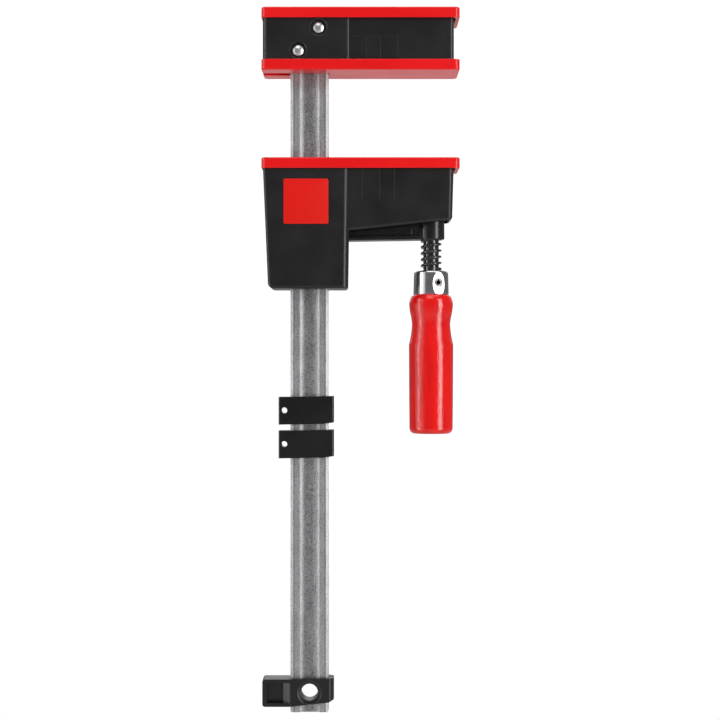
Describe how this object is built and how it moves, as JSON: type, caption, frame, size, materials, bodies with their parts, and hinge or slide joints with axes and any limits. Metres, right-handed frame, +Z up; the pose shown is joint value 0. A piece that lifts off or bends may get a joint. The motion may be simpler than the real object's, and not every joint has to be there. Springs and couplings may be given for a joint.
{
  "type": "parallel-jaw bar clamp",
  "caption": "Parallel-jaw bar clamp with a grooved steel rail, a fixed jaw, a sliding jaw fed by a screw spindle with a turned wooden handle, rail rests and an end stop.",
  "frame": {"origin": "centre of the fixed jaw's clamping face, on the mid-plane of the rail, halfway along the throat", "axes": "+Z up the rail from the handle end to the fixed jaw, +X from the rail to the nose of the jaws, +Y to the back"},
  "size_m": [0.1486, 0.042, 0.5308],
  "materials": {
    "galvanised_steel": "drawn profile, grainy galvanised coat",
    "blackened_core": "black coated steel",
    "black_plastic": "fine moulded texture, satin",
    "polished_rivet": "bright pressed rivet head",
    "red_plastic": "smooth glossy moulding",
    "clip_plastic": "satin moulding",
    "blackened_arm": "black coated casting",
    "hardened_steel": "ground, hardened",
    "badge_red": "smooth plain badge",
    "spring_steel": "bright spring steel",
    "shoe_plastic": "natural slide plastic",
    "blackened_screw": "blackened rolled thread, lightly oiled",
    "chrome_ferrule": "bright plated",
    "lacquered_wood": "turned ash under glossy red lacquer"
  },
  "bodies": {
    "rail": {"rail": "galvanised_steel", "fixed_jaw_core": "blackened_core", "fixed_jaw_cover": "black_plastic", "fixed_jaw_rivets": "polished_rivet", "fixed_jaw_pad": "red_plastic", "fixed_jaw_back_pad": "red_plastic", "end_stop_clip": "clip_plastic"},
    "slide_arm": {"slide_arm": "blackened_arm", "arm_grip_pins": "hardened_steel"},
    "moving_jaw": {"moving_jaw_core": "blackened_core", "moving_jaw_cover": "black_plastic", "moving_jaw_pad": "red_plastic", "jaw_badge": "badge_red", "thrust_seat": "hardened_steel", "seat_retainer": "spring_steel", "brake_spring": "spring_steel", "brake_shoe": "shoe_plastic"},
    "spindle": {"spindle": "blackened_screw", "ferrule": "chrome_ferrule", "ferrule_pin": "spring_steel", "handle": "lacquered_wood"},
    "upper_rail_rest": {"upper_rail_rest": "clip_plastic"},
    "lower_rail_rest": {"lower_rail_rest": "clip_plastic"}
  },
  "joints": [
    {"name": "jaw_slide", "type": "slide", "parent": "rail", "child": "slide_arm", "axis": [0, 0, 1], "range_m": [-0.045, 0.046]},
    {"name": "jaw_feed", "type": "slide", "parent": "slide_arm", "child": "moving_jaw", "axis": [0, 0, 1], "range_m": [-0.0047, 0.0188]},
    {"name": "spindle_turn", "type": "hinge", "parent": "moving_jaw", "child": "spindle", "pos_m": [0.0285, 0, -0.15], "axis": [0, 0, 1], "range_deg": [-361, 1441]},
    {"name": "upper_rest_slide", "type": "slide", "parent": "rail", "child": "upper_rail_rest", "axis": [0, 0, 1], "range_m": [-0.002, 0.03]},
    {"name": "lower_rest_slide", "type": "slide", "parent": "rail", "child": "lower_rail_rest", "axis": [0, 0, 1], "range_m": [-0.165, 0.002]}
  ],
  "couplings": [
    {"joint": "spindle_turn", "follows": "jaw_feed", "rad_per_m": 1336.8}
  ]
}
